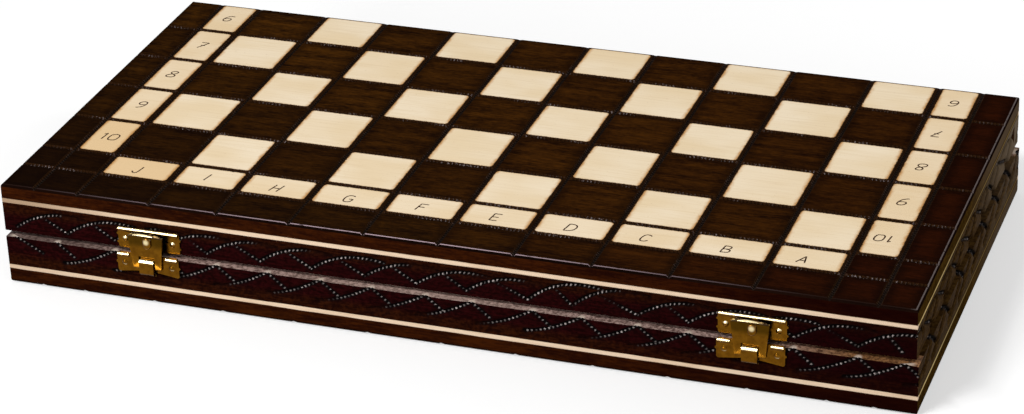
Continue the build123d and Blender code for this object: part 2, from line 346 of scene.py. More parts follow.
def stain(name, dark, brown, stretch, specular=0.0, by_square=False, deepening=0.0, sheen_share=0.0):
    """Fibres from dark to brown. By square, the square's own tone, with its painted shade towards the
    front left, and ruddiness count too.
    """
    wood = new_finish(name)
    fibres = wood.noise(stretch, 5.0, 0.66)
    mottle = wood.noise((1.7, 1.3, 1.3))
    blotches = wood.noise(tuple(s * 5 for s in stretch))
    spread = 0.05 if by_square else 0.0
    shows = wood.step(fibres * 0.6 + mottle * 0.15 + blotches * 0.35, 0.42 - spread, 0.72 + spread)
    if by_square:
        shows = shows * wood.attribute("tone_and_shade")
        ruddy = wood.attribute("ruddy")
        dark = wood.mix(ruddy, dark, (28, 10, 4))
        brown = wood.mix(ruddy, brown, (47, 18, 6))
    colour = wood.mix(shows, dark, brown)
    if by_square:
        past = wood.maths("MAXIMUM", *wood.parts(wood.past_reach()))
        darker_at_edges = wood.step(past - (mottle - 0.5) * 3.0, -5.0, 0.5)
        # Each square is darker towards its edges.
        colour = wood.mix(darker_at_edges * (ruddy * 0.3 + 0.35), colour, (13, 6, 4))
    colour = deepen(wood, colour, deepening, (20, 2, 2))
    # Painted sheen that grows towards the back.
    back_sheen = wood.step(wood.axis("Y"), -10.0, 60.0)
    colour = wood.mix(back_sheen * sheen_share, colour, (104, 88, 72))
    return wood.surface(colour, 0.38, specular, Normal=wood.bump(fibres, 0.2))


dark_squares = stain("dark_squares", (17, 8, 5), (72, 42, 10), (7.0, 0.9, 0.9), by_square=True)
panel_sides = stain("panel_sides", (30, 9, 4), (60, 26, 6), (7.0, 7.0, 1.0), deepening=0.85)
# The panel's end grain is a paler copy of the stain, a painted sheen, and paler still towards the back.
panel_ends_with_sheen = stain("panel_ends_with_sheen", (51, 35, 10), (86, 61, 21), (2.2, 2.2, 1.1), sheen_share=0.6)
# The arris's round is darker than the squares: painted shade.
arris_shade_wood = stain("arris", (14, 6, 4), (28, 14, 9), (60.0, 3.0, 3.0))
inside_wood = stain("inside", (74, 45, 24), (104, 68, 38), (18.0, 18.0, 1.3), specular=0.1)

# Painted highlight: a pale line along the front arris, brightest near its middle and broken by noise, and
# a thinner painted sheen along the right arris.
arris = new_finish("painted_arris_highlight")
east, north = arris.parts(arris.place())
highlight_reach = arris.step(abs(east + 18.0), 180.0, 5.0) * arris.step(north, -90.0, -95.0)
patchy_highlight = arris.step(arris.noise((5.0, 2.0, 2.0), 3.0), 0.22, 0.45)
colour = arris.mix(highlight_reach * patchy_highlight, (33, 21, 17), (166, 144, 150))
right_arris_sheen = arris.step(east, 196.5, 199.0)
colour = arris.mix(right_arris_sheen * patchy_highlight * 0.7, colour, (112, 102, 100))
painted_arris_highlight = arris.surface(colour, 0.35)
print("stains:", dark_squares.name, panel_sides.name, panel_ends_with_sheen.name, inside_wood.name)

# %% [markdown]
# A toothed wheel rolled along each line leaves a charred channel with a tooth mark every
# couple of millimetres, and here and there a mark's rim carries a painted glint. The
# groove's own map runs along it and across it, so one pattern serves both directions.


# %% Toothed grooves
groove_pitch = 1.7


def groove_finish(name, char_and_shade, glint_share):
    """Charred at the bottom, browner up the flanks, with painted glints on the rim."""
    groove = new_finish(name)
    along, across = groove.parts(groove.own_map("square"))
    across = abs(across)
    wander = groove.noise(3.0)
    tooth = groove.maths("SINE", (along + wander * 1.2) * (2 * pi / groove_pitch))
    grit = groove.noise(0.55, 1.0)
    rim = groove.step(across, 0.25, 0.6) * groove.step(across, 1.2, 0.95)
    patchy = groove.step(groove.noise(12.0), 0.42, 0.65)
    # Painted highlight: glints on the groove's rim beside the tooth marks.
    painted_glint = groove.step(grit + tooth * 0.1, 0.56, 0.7) * rim * patchy * glint_share
    soot = groove.step(grit * 0.6 + tooth * 0.12 + 0.2, 0.4, 0.7)
    colour = groove.mix(soot, char_and_shade, tuple(c * 1.9 for c in char_and_shade))
    flank = groove.step(across + (grit - 0.5) * 0.4, 0.5, 0.85)
    colour = groove.mix(flank, colour, (46, 27, 13))
    colour = groove.mix(painted_glint, colour, (168, 156, 156))
    return groove.surface(colour, 0.55, Normal=groove.bump(tooth, 0.8, 0.0004))


long_grooves = groove_finish("row_grooves", (24, 15, 10), 0.5)
short_grooves = groove_finish("column_grooves", (23, 17, 14), 0.1)
print("groove finishes:", long_grooves.name, short_grooves.name)

# %% [markdown]
# The panel starts as a cube. One bevel rounds the edges of its playing face, planes bisect
# that face along each groove, and the new vertices sink to the groove's round section. A
# groove gets shallower as it runs off the panel, most at the hinges, where the maker lifted
# the wheel. The lines are hand-set, a millimetre or two off, so they have their own places.
# The base shows only where its columns run out at the front, so its rows wander by chance.

# %% Board layout
square_size = 33
groove_half_width = 1.2
groove_sink = 1.1
groove_shares = (-1.0, -0.66, -0.3, 0.0, 0.3, 0.66, 1.0)
run_out = 3.2
wheel_lift = 4.0
arris_width = 1.1
slack = 0.05
columns_at = {
    "lid": [-184.8, -164.6, -131.2, -100.0, -67.1, -33.5, -0.4, 32.5, 65.9, 98.8, 134.0, 165.1, 184.8],
    "base": [-185.2, -165.2, -132.2, -100.2, -67.5, -34.0, -1.0, 31.8, 65.3, 97.3, 130.8, 163.8, 183.2],
}
rows_at = {"lid": [-77.0, -58.4, -26.8, 7.1, 39.4, 72.3]}
chance = random.Random(10)
base_front = box_mm("base_board_panel")[0].y
rows_at["base"] = [base_front + y + chance.uniform(-0.5, 0.5) for y in
                   (20.7, *(38.6 + square_size * k for k in range(5)))]


def square_kind(half, column, row):
    """Whether a cell is border, label, light or dark. Cells count from the left and the front."""
    if column in (0, 13) or row == 0 or (column in (1, 12) and row == 1):
        return "border"
    if column in (1, 12) or row == 1:
        return "label"
    rank = row - 2 if half == "lid" else 11 - row
    return "dark" if (column - 2 + rank) % 2 == 0 else "light"


print("first ranks:", [square_kind("lid", c, 2) for c in range(2, 12)])


# %% Board panels
SIDE, ARRIS, DARK, PALE, SHORT_GROOVE, LONG_GROOVE, INSIDE, END_GRAIN_SHEEN, ARRIS_HIGHLIGHT = range(9)
board_finishes = [panel_sides, arris_shade_wood, dark_squares, pale_squares, short_grooves, long_grooves,
                  inside_wood, panel_ends_with_sheen, painted_arris_highlight]


def groove_depth(offset, from_edge):
    """A round-bottomed channel, shallower where the wheel ran off the panel."""
    section = max(0.0, 1.0 - (abs(offset) / groove_half_width) ** 2.2)
    return groove_sink * section * min(1.0, 0.7 + from_edge * 0.1)


def cut_playing_face(bm, axis, cut, up, face_z):
    """Bisect the playing face and its arris by a plane across one axis."""
    faces = [face for face in bm.faces
             if up * (face.calc_center_median().z - face_z) > slack - arris_width]
    edges = {edge for face in faces for edge in face.edges}
    verts = {vert for face in faces for vert in face.verts}
    normal = Vector((axis == 0, axis == 1, 0))
    bmesh.ops.bisect_plane(bm, geom=[*faces, *edges, *verts], dist=0.0001,
                           plane_co=normal * cut, plane_no=normal)


def make_board(half, up):
    """One panel. Up is 1 where its playing face looks up, and -1 where it looks down."""
    low, high = box_mm(f"{half}_board_panel")
    face_z = high.z if up > 0 else low.z
    middle_x = (low.x + high.x) / 2
    columns = [middle_x + x for x in columns_at[half]]
    rows = rows_at[half]
    bm = bmesh.new()
    add_block(bm, low, high)
    playing_face = max(bm.faces, key=lambda face: up * face.calc_center_median().z)
    bmesh.ops.bevel(bm, geom=playing_face.edges[:], offset=arris_width, offset_type="OFFSET",
                    segments=3, profile=0.5, affect="EDGES", material=-1)
    for axis, lines in ((0, columns), (1, rows)):
        cuts = [low[axis] + run_out, high[axis] - run_out]
        for line in lines:
            cuts += [line + share * groove_half_width for share in groove_shares]
        for cut in cuts:
            cut_playing_face(bm, axis, cut, up, face_z)
    for vert in bm.verts:
        x, y, below = vert.co.x, vert.co.y, up * (face_z - vert.co.z)
        to_end = min(y - low.y, high.y - y - wheel_lift)
        to_side = min(x - low.x, high.x - x)
        sink = max(max(groove_depth(x - line, to_end) for line in columns),
                   max(groove_depth(y - line, to_side) for line in rows))
        if below < arris_width - slack and below < sink:
            vert.co.z = face_z - up * sink
    map_square_faces(bm, half, up, low, high, face_z, columns, rows)
    finish_piece(bm, f"{half}_board", half, board_finishes, [f"{half}_board_panel"])


def ruddiness(kind, column, row, from_left):
    """How much of the ruddy stain, or on pale wood of the warm varnish, a square took."""
    if kind == "border" and column > 11:
        return 1.0
    if kind == "border" and row == 0:
        return min(1.0, max(0.0, 2.2 * from_left - 1.0))
    if kind == "label":
        return 0.9 if column < 3 and row < 3 else 0.15 if row == 1 else 0.3
    return chance.uniform(0.0, 0.06) if kind == "light" else 0.5 * from_left


def map_square_faces(bm, half, up, low, high, face_z, columns, rows):
    """Give every face its finish, and the cells and grooves their maps."""
    square_map, reach_map = (bm.loops.layers.uv.new(name) for name in ("square", "reach"))
    tone_and_shade, ruddy = (bm.faces.layers.float.new(name) for name in ("tone_and_shade", "ruddy"))
    x_edges, y_edges = [low.x, *columns, high.x], [low.y, *rows, high.y]
    for face in bm.faces:
        middle = face.calc_center_median()
        rim = min(middle.x - low.x, high.x - middle.x, middle.y - low.y, high.y - middle.y)
        if rim < 0.02 or up * (face_z - middle.z) > 2.5:
            level, endways = abs(face.normal.z) > 0.5, abs(face.normal.x) > 0.5
            face.material_index = INSIDE if level else END_GRAIN_SHEEN if endways else SIDE
            continue
        near_x = min(columns, key=lambda x: abs(middle.x - x))
        near_y = min(rows, key=lambda y: abs(middle.y - y))
        off_x, off_y = abs(middle.x - near_x), abs(middle.y - near_y)
        if rim < arris_width and min(off_x, off_y) > 0.4 * groove_half_width:
            face.material_index = ARRIS_HIGHLIGHT if abs(face.normal.z) > 0.85 else ARRIS
        elif off_x < groove_half_width:
            face.material_index = SHORT_GROOVE
            for loop in face.loops:
                loop[square_map].uv = (loop.vert.co.y, loop.vert.co.x - near_x)
        elif off_y < groove_half_width:
            face.material_index = LONG_GROOVE
            for loop in face.loops:
                loop[square_map].uv = (loop.vert.co.x, loop.vert.co.y - near_y)
        else:
            column = sum(middle.x > x for x in columns)
            row = sum(middle.y > y for y in rows)
            kind = square_kind(half, column, row)
            face.material_index = PALE if kind in ("label", "light") else DARK
            (left, right), (front, back) = x_edges[column:column + 2], y_edges[row:row + 2]
            cell = Vector(((left + right) / 2, (front + back) / 2))
            reach = ((right - left) / 2 - groove_half_width - 0.6,
                     (back - front) / 2 - groove_half_width - 0.15)
            from_left = (middle.x - low.x) / (high.x - low.x)
            from_front = (middle.y - low.y) / (high.y - low.y)
            # The random tone also falls towards the front left corner: painted shade.
            face[tone_and_shade] = chance.uniform(0.9, 1.1) * min(1.1, 1.3 * from_left + 1.1 * from_front)
            face[ruddy] = ruddiness(kind, column, row, from_left)
            for loop in face.loops:
                loop[square_map].uv = loop.vert.co.xy - cell
                loop[reach_map].uv = reach


make_board("lid", 1)
make_board("base", -1)

# %% [markdown]
# The letters and numbers are drawn with a hot point: one thin, slightly slanted line each,
# no thicker than a pencil's. A path lists its points, with commas between them and semicolons
# where the pen was lifted. A curve with a round bevel is the natural tool. Its mesh is then
# pressed flat, so the line lies in the wood's face like a scorch and not on it like wire.

# %% Letters and numbers
burnt = new_finish("burnt_line")
pressure = burnt.noise(1.4)
colour = burnt.mix(burnt.step(pressure, 0.3, 0.7), (50, 34, 26), (88, 66, 50))
burnt_line = burnt.surface(colour, 0.8)

pen_paths = {
    "A": "0 0, 2.2 6; 2.2 6, 4 0; 0.9 2, 3.5 2",
    "B": "0.3 0, 0.3 6; 0.3 6, 3.2 6, 3.7 4.6, 3 3.1, 0.3 3.1; 0.3 3.1, 3.6 3.1, 4.2 1.4, 3.4 0, 0.3 0",
    "C": "4 5.2, 3 6.2, 0.6 6, -0.1 2.8, 0.4 0, 2.8 -0.3, 3.9 1",
    "D": "0.3 0, 0.3 6; 0.3 6, 3.4 6.1, 4.8 3, 3.6 0, 0.3 0",
    "E": "3.8 6, 0.4 6; 0.4 6, 0.4 0; 0.4 0, 3.8 0; 0.4 3.1, 3.3 3.1",
    "F": "3.9 6, 0.4 6; 0.4 6, 0.4 0; 0.4 3.1, 3.3 3.1",
    "G": "4 5.4, 2.9 6.2, 0.5 5.8, -0.1 2.8, 0.5 0, 2.8 -0.3, 4.1 1, 4.1 2.7; 2.3 2.7, 4.4 2.7",
    "H": "0.3 0, 0.3 6; 3.8 0, 3.8 6; 0.3 3, 3.8 3",
    "I": "2 0, 2 6",
    "J": "3.2 6, 3.2 1.6, 2.6 -0.2, 0.8 -0.3, 0.2 1.4",
    "0": "2 6, 0.2 5.6, -0.2 3, 0.2 0.2, 2 0, 3.9 0.3, 4.3 3, 3.8 5.8, 2 6",
    "1": "0.8 4.8, 2 6; 2 6, 2 0",
    "2": "0.2 4.8, 0.6 6.1, 3.4 6.2, 3.8 3.6, 0.2 0; 0.2 0, 4 0",
    "3": "0.3 5.4, 2 6.4, 4 5, 1.6 3.2; 1.6 3.2, 4.2 2.8, 3.6 -0.2, 0.2 0.6",
    "4": "3 0, 3 6; 3 6, 0 1.8; 0 1.8, 4.2 1.8",
    "5": "3.8 6, 0.7 6; 0.7 6, 0.5 3.4; 0.5 3.4, 3.8 4, 4.2 0.6, 2 -0.4, 0.2 0.5",
    "6": "3.7 5.6, 1.6 6.2, -0.1 3.6, 0.2 0.2, 3 -0.3, 4.1 1.8, 2.8 3.5, 0.3 2.4",
    "7": "0.3 6, 4 6; 4 6, 1.4 0; 1.5 3, 3.7 3",
    "8": "2 3.2, 0.2 4, 0.7 6.2, 3.4 6.1, 3.6 3.9, 2 3.2; "
         "2 3.2, -0.2 2.2, 0.3 -0.2, 3.9 -0.1, 4.2 2.4, 2 3.2",
    "9": "3.8 3.4, 1.2 2.6, 0 4.2, 1 6.2, 3.6 6, 4 3.4, 3 0.4, 0.8 -0.2",
}


def strokes_of(character):
    """A character's strokes, each a list of points."""
    strokes = [path.split(", ") for path in pen_paths[character].split("; ")]
    return [[tuple(map(float, point.split())) for point in stroke] for stroke in strokes]


def burn_labels(half, up, labels):
    """Draw a half's labels. Each is its text, its middle, and 1, or -1 where it is upside down."""
    low, high = box_mm(f"{half}_board_panel")
    face_z = high.z if up > 0 else low.z
    lines = bpy.data.curves.new(f"{half}_lines", "CURVE")
    lines.dimensions, lines.resolution_u = "3D", 5
    lines.bevel_depth, lines.bevel_resolution = 0.00034, 1
    for text, x, y, way in labels:
        slant, size = chance.uniform(0.12, 0.3), chance.uniform(0.9, 1.02)
        for place, character in enumerate(text):
            start = (place - (len(text) - 1) / 2) * 4.6 - 2.0
            for stroke in strokes_of(character):
                spline = lines.splines.new("NURBS")
                spline.points.add(len(stroke) - 1)
                for point, (a, b) in zip(spline.points, stroke):
                    a, b = start + a + slant * (b - 3), b - 3
                    spot = (x + way * up * size * a, y + way * size * b)
                    point.co = (spot[0] / 1000, spot[1] / 1000, 0.0, 1.0)
                spline.order_u, spline.use_endpoint_u = 3, True
    drawn = add_object(f"{half}_drawn", lines)
    mesh = bpy.data.meshes.new_from_object(drawn)
    bpy.data.objects.remove(drawn)
    bm = bmesh.new()
    bm.from_mesh(mesh)
    flattened = 120
    bmesh.ops.scale(bm, vec=(1000, 1000, flattened), verts=bm.verts)
    bmesh.ops.translate(bm, vec=(0, 0, face_z), verts=bm.verts)
    finish_piece(bm, f"{half}_labels", half, [burnt_line], [])


lid_letters = zip("JIHGFEDCBA", (-149, -116.7, -84, -50.5, -18, 15, 48, 80.5, 115, 147),
                  (-69, -67.5, -69, -69.5, -68.5, -68.5, -68.7, -69, -69.3, -69.2))
lid_labels = [(letter, x - 0.7, y, 1) for letter, x, y in lid_letters]
row_middles = (-43.0, -9.5, 23.6, 56.3, 87.5)
for number, y in zip(("10", "9", "8", "7", "6"), row_middles):
    lid_labels += [(number, -175.9, y, 1), (number, 173.6, y, -1)]
burn_labels("lid", 1, lid_labels)
base_labels = [(letter, square_size * k - 147.8, base_front + 29.6, 1)
               for k, letter in enumerate("JIHGFEDCBA")]
for place, number in enumerate("12345"):
    y = base_front + 55.1 + square_size * place - (2 if place == 4 else 0)
    base_labels += [(number, -174.1, y, 1), (number, 175.5, y, -1)]
burn_labels("base", -1, base_labels)

# %% [markdown]
# The walls are carved with a rolling wheel: waves that climb, crest and run behind the next
# one, each cut through by a straight slash. On the base the same pattern stands on its head.
# The wall's outer skin is a fine grid. Every point near a stroke is pressed in, deeper between
# the wheel's teeth. How black the spot is, with char in the channel and painted shade above the
# stroke and in a soft halo round it, and how bright its tooth mark's painted glint is go into two
# attributes for the finish. The short walls show end grain, coloured as a paler copy of the
# stain: a painted sheen, with more of it towards the back. The sanded rims are bare, with a
# painted highlight in the middle and painted shade towards the left end.

# %% Carved stain
parting_z = 23.0


def only_lid(finish, height):
    """0 on the base and 1 on the lid."""
    return finish.step(height, parting_z - 1.0, parting_z + 1.0)


def carved_finish(name, wine, brown, specular, deepening, sheen_share=0.0):
    """Wine-red between the strokes, browner at the inlay, black with char and painted shade, and with
    painted glints, where the wheel went.
    """
    carved = new_finish(name)
    fibres = carved.noise((9.0, 9.0, 0.8), 4.0, 0.66)
    mottle = carved.noise((1.6, 1.6, 1.2))
    height = carved.axis("Z")
    band = carved.step(abs(height - parting_z) + mottle * 2.0, 8.0, 12.5)
    shows = carved.step(fibres * 0.55 + mottle * 0.45, 0.38, 0.68)
    low, high = (carved.mix(band, wine[k], brown[k]) for k in (0, 1))
    colour = deepen(carved, carved.mix(shows, low, high), deepening, (18, 2, 3))
    # Painted sheen: paler towards the back, more on the lid than the base.
    back_sheen = carved.step(carved.axis("Y"), 0.0, 110.0) * (only_lid(carved, height) * 0.75 + 0.25)
    colour = carved.mix(back_sheen * sheen_share, colour, (128, 112, 92))
    # Black where the wheel charred the channel, and painted shade above each stroke and round it.
    colour = carved.mix(carved.attribute("char_and_shade"), colour, (9, 7, 7))
    # Painted highlight: the glints of the tooth marks.
    colour = carved.mix(carved.attribute("painted_glint"), colour, (208, 194, 190))
    return carved.surface(colour, 0.4, specular, Normal=carved.bump(fibres, 0.2))


carved_wood = carved_finish(
    "carved_walls", ((20, 4, 4), (43, 9, 10)), ((24, 7, 4), (52, 22, 8)), 0.0, 0.6)
# The short walls and the ends of the long ones take a paler olive copy of the carved stain: a painted
# sheen.
carved_ends_with_sheen = carved_finish(
    "carved_side_walls_painted_sheen", ((43, 27, 10), (82, 58, 26)), ((45, 29, 8), (84, 60, 24)), 0.001, 0.0, 0.6)

rim = new_finish("sanded_rim")
pores = rim.noise((1.6, 1.6, 0.9), 5.0, 0.75)
porous = rim.step(pores, 0.38, 0.62)
east = rim.axis("X")
colour = rim.mix(porous, (80, 58, 52), (180, 152, 142))
# Painted highlight makes the rim paler in its middle, and painted shade darkens it towards the left end.
colour = rim.mix(rim.step(abs(east + 10.0), 85.0, 10.0) * 0.2, colour, (204, 178, 164))
colour = rim.mix(rim.step(east, -110.0, -190.0) * 0.65, colour, (56, 42, 38))
golden = rim.mix(porous, (70, 42, 22), (150, 106, 66))
colour = rim.mix(rim.step(east, 120.0, 180.0), colour, golden)
torn = rim.step(rim.attribute("nicked"), 0.1, 0.7)
colour = rim.mix(torn * 0.75, colour, (222, 204, 186))
rim_wood = rim.surface(colour, 0.5, 0.3, Normal=rim.bump(pores, 0.5, 0.0003))
print("wall finishes:", carved_wood.name, carved_ends_with_sheen.name, rim_wood.name)

# %% [markdown]
# The carver's hand pressed harder and softer along each stroke. So every stroke says how
# hard it was pressed and how bright its tooth marks' painted glints are at its start, at a
# third of its length and at its end. Most of those numbers are drawn by chance from a range.

# %% The carver's strokes
tooth_pitch = 1.95
press_reach = 3.5
channel_half_width = 1.1
tooth_half_length, tooth_half_width, tooth_lean = 0.36, 0.48, 0.4
lid_low, base_peak = 25.7, 22.2
carver = random.Random(7)


def wave(start, climb, length, reach, power, head):
    """A curve that climbs from its start and crests after reach. On the base, head is -1."""
    points = []
    for step in range(41):
        t = length * step / 40
        points.append((start[0] + head * t, start[1] + head * climb * (1 - abs(1 - t / reach) ** power)))
    return points


def press_and_glint_by_chance(*ranges):
    return [carver.uniform(low, high) for low, high in ranges]


def lid_strokes(lows):
    """A wave and a slash from each low. Each stroke is its points, and its press and glint strength."""
    strokes, z = [], lid_low
    for low, following in zip(lows, lows[1:]):
        climb = 10.2 if low in (38.5, 57.5) else 8.4
        press_and_glint = press_and_glint_by_chance((0.0, 0.6), (0.7, 1.0), (-0.9, 0.3))
        strokes.append((wave((low, z), climb, 33.0, 24.0, 2.2, 1), press_and_glint))
        press_and_glint = press_and_glint_by_chance((0.0, 0.15), (0.0, 0.5), (0.3, 0.8))
        strokes.append(([(low + 12.5, z + 6.2), (following, z)], press_and_glint))
    return strokes


def base_strokes(peaks, slashes_first=0):
    """The same upside down. The first few may be slashes only, without their wave."""
    strokes, z = [], base_peak
    for number, peak in enumerate(peaks):
        if number >= slashes_first:
            press_and_glint = press_and_glint_by_chance((0.5, 0.9), (0.6, 0.9), (-0.3, 0.4))
            strokes.append((wave((peak, z), 9.6, 24.5, 25.0, 1.6, -1), press_and_glint))
        reach = 12.0 if number < slashes_first - 1 else 8.0
        strokes.append(([(peak, z), (peak + reach, z - 6.4)], (0.5, 0.3, 0.35)))
    return strokes


def press_and_glint_at(press_and_glint, share):
    """Between a stroke's three values, at a share of its length."""
    start, third, end = press_and_glint
    if share < 0.33:
        return max(0.0, start + (third - start) * share * 3)
    return max(0.0, third + (end - third) * (1.5 * share - 0.5))


def stroke_tree(strokes):
    """Every stroke as close points in a tree, with the distance rolled so far and its press and glint
    strength.
    """
    spots = []
    for stroke, press_and_glint in strokes:
        pieces = [(x0, z0, x1 - x0, z1 - z0) for (x0, z0), (x1, z1) in zip(stroke, stroke[1:])]
        whole = sum(hypot(across, up) for _, _, across, up in pieces)
        rolled = 0.0
        for x, z, across, up in pieces:
            length = hypot(across, up)
            count = max(1, int(length / 0.2))
            for step in range(count):
                share = step / count
                done = rolled + length * share
                spots.append((x + across * share, z + up * share, done, press_and_glint_at(press_and_glint, done / whole)))
            rolled += length
    tree = KDTree(len(spots))
    for index, (x, z, _, _) in enumerate(spots):
        tree.insert((x, z, 0.0), index)
    tree.balance()
    return tree, spots


def pressed(tree, spots, x, z, relief=1.0):
    """How deep the wheel pressed at a spot, how black it is with char and painted shade, and how bright
    its tooth mark's painted glint is.
    """
    _, index, away = tree.find((x, z, 0.0))
    if away > press_reach:
        return 0.0, 0.0, 0.0
    eased = (1 - away / press_reach) ** 2
    _, spot_z, rolled, press_and_glint = spots[index]
    tooth_number = round(rolled / tooth_pitch)
    between = rolled - tooth_number * tooth_pitch
    section = max(0.0, 1 - (away / channel_half_width) ** 2)
    shaded = max(0.0, 1 - (away / (1.4 if z > spot_z else 0.8)) ** 2)
    lengthways = (between - tooth_lean * (z - spot_z)) / tooth_half_length
    tooth = max(0.0, 1 - hypot(lengthways, away / tooth_half_width) ** 2)
    luck = abs(sin(tooth_number * 2.4 + spots[index - index % 100][0]))
    # Painted highlight: the glint of each tooth mark.
    glint_brightness = 1.35 * tooth * press_and_glint * (0.15 + 1.2 * luck)
    depth = (0.5 * eased + 0.4 * section - 0.3 * tooth * section) * relief
    # Char in the channel, with painted shade that reaches further above the stroke than below and a soft
    # halo of painted shade round it.
    char_and_shade_share = min(1.0, 1.8 * shaded + 0.45 * eased) * min(1.0, 0.4 + 2.4 * press_and_glint)
    return depth, char_and_shade_share, min(1.0, glint_brightness)


demo_tree, demo_spots = stroke_tree(lid_strokes([0, 24, 48]))
print("pressed on a stroke:", [round(v, 2) for v in pressed(demo_tree, demo_spots, 0.2, lid_low)])

# %% [markdown]
# A long wall runs the whole width of its half and shows its end grain at both corners, so its
# skin folds round both. The short walls stand between the long ones and are carved twice as
# deep. Where a stroke starts at the rim, the wheel nicked the edge. The nick's bare wood ends
# at a narrow lip, and behind that the wall is flat. Behind the pale inlay each wall keeps a
# thinner tongue, which is a plain block in the same mesh.


# %% Carved walls
skin_step = 0.36
wall_thickness = 9.0
inlay_depth = 2.0
lip_width = 3.0
hinge_middle, hinge_half_length, hollow_radius = 130.0, 16.4, 2.4
facing = {"front": (0, -1, 0), "back": (0, 1, 0), "left": (-1, 0, 0), "right": (1, 0, 0)}
CARVED, RIM, INNER, CARVED_END_SHEEN = range(4)
wall_finishes = [carved_wood, rim_wood, inside_wood, carved_ends_with_sheen]


def skin_grid(bm, length, low_z, high_z):
    columns = round(length / skin_step)
    rows = round((high_z - low_z) / skin_step)
    scale = Matrix.Diagonal((length, high_z - low_z, 1.0, 1.0))
    bmesh.ops.create_grid(bm, x_segments=columns, y_segments=rows, size=0.5,
                          matrix=Matrix.Translation((0, (low_z + high_z) / 2, 0)) @ scale)


def knuckle_hollow(x, z):
    """The hollow that clears a hinge's knuckles, in the lid's back wall."""
    off_hinge, above = abs(abs(x) - hinge_middle), z - parting_z
    if off_hinge > hinge_half_length or above > hollow_radius:
        return 0.0
    return (hollow_radius ** 2 - above ** 2) ** 0.5


def nick_depth(along, z, rim_z, nicks, size):
    """How deep the rim is nicked. At size 1 a nick is 1 mm deep and 1.6 mm high."""
    nearest = min((abs(along - nick) for nick in nicks), default=9.0)
    return size * max(0.0, 1 - (nearest / (2.1 * size)) ** 2) * max(0.0, 1 - abs(z - rim_z) / (1.6 * size))


def make_wall(half, side, strokes, nicks=()):
    """Press the strokes into a skin, wrap it round the wall, close it and add the tongue."""
    node = f"{half}_{side}_wall"
    low, high = box_mm(node)
    inlay_low, inlay_high = box_mm(f"{half}_{side}_inlay")
    skin_low, skin_high = (low.z, inlay_low.z) if half == "lid" else (inlay_high.z, high.z)
    rim_z = skin_low if half == "lid" else skin_high
    long_wall = side in ("front", "back")
    axis = 0 if long_wall else 1
    length = high[axis] - low[axis]
    middle = (low[axis] + high[axis]) / 2
    outward = Vector(facing[side])
    rightward = Vector((-outward.y, outward.x, 0))
    outer = high if sum(outward) > 0 else low
    origin = Vector((middle, outer.y, 0)) if long_wall else Vector((outer.x, middle, 0))
    size = 1.0 if long_wall else 2.0
    tree, spots = stroke_tree(strokes)
    bm = bmesh.new()
    char_and_shade, painted_glint, nicked = (bm.verts.layers.float.new(name) for name in ("char_and_shade", "painted_glint", "nicked"))
    skin_grid(bm, length + 2 * wall_thickness * long_wall, skin_low, skin_high)
    for vert in bm.verts:
        along, z = vert.co.x, vert.co.y
        end = 1 if along > 0 else -1
        if abs(abs(along) - length / 2) < skin_step / 2:
            along = end * length / 2
        depth, vert[char_and_shade], vert[painted_glint] = pressed(tree, spots, along, z, size)
        # On the short walls the painted glints are halved, and painted shade darkens each nick.
        if not long_wall:
            vert[painted_glint] *= 0.5
            vert[char_and_shade] = max(vert[char_and_shade], nick_depth(along, z, rim_z, nicks, 1.6) * 0.5)
        vert[nicked] = nick_depth(along, z, rim_z, nicks, size)
        depth = max(depth, vert[nicked])
        if node == "lid_back_wall":
            hollow = knuckle_hollow(middle - along, z)
            if hollow > depth:
                depth, vert[char_and_shade], vert[painted_glint] = hollow, 0.0, 0.0
        past_end = abs(along) - length / 2
        if past_end > 0:
            spot = rightward * end * (length / 2 - depth) - outward * past_end
        else:
            spot = rightward * along - outward * depth
        vert.co = origin + spot + Vector((0, 0, z))
    close_wall(bm, long_wall, outward, rim_z, nicked)
    tongue_low, tongue_high = low.copy(), high.copy()
    if half == "lid":
        tongue_low.z = skin_high
    else:
        tongue_high.z = skin_low
    if outer is high:
        tongue_high -= outward * inlay_depth
    else:
        tongue_low -= outward * inlay_depth
    if long_wall:
        tongue_low.x += inlay_depth
        tongue_high.x -= inlay_depth
    add_block(bm, tongue_low, tongue_high)
    for face in bm.faces:
        centre = face.calc_center_median()
        on_end = abs(face.normal.x) > 0.7 and abs(centre.x - middle) > length / 2 - 1.5
        if abs(centre.z - rim_z) < 0.01 and abs(face.normal.z) > 0.5:
            on_lip = (origin - centre).dot(outward) < lip_width
            face.material_index = CARVED_END_SHEEN if on_lip and not long_wall else RIM
        elif face.normal.dot(outward) < -0.9 or tongue_low.z < centre.z < tongue_high.z:
            face.material_index = INNER
        else:
            face.material_index = CARVED_END_SHEEN if on_end or not long_wall else CARVED
    finish_piece(bm, f"{half}_{side}_carved", half, wall_finishes, [node])


def open_edges(bm):
    return [edge for edge in bm.edges if edge.is_boundary]


def draw_out(bm, edges):
    """Extrude edges, and return the new vertices, which are still in the old ones' places."""
    pulled = bmesh.ops.extrude_edge_only(bm, edges=edges)["geom"]
    return [item for item in pulled if isinstance(item, bmesh.types.BMVert)]


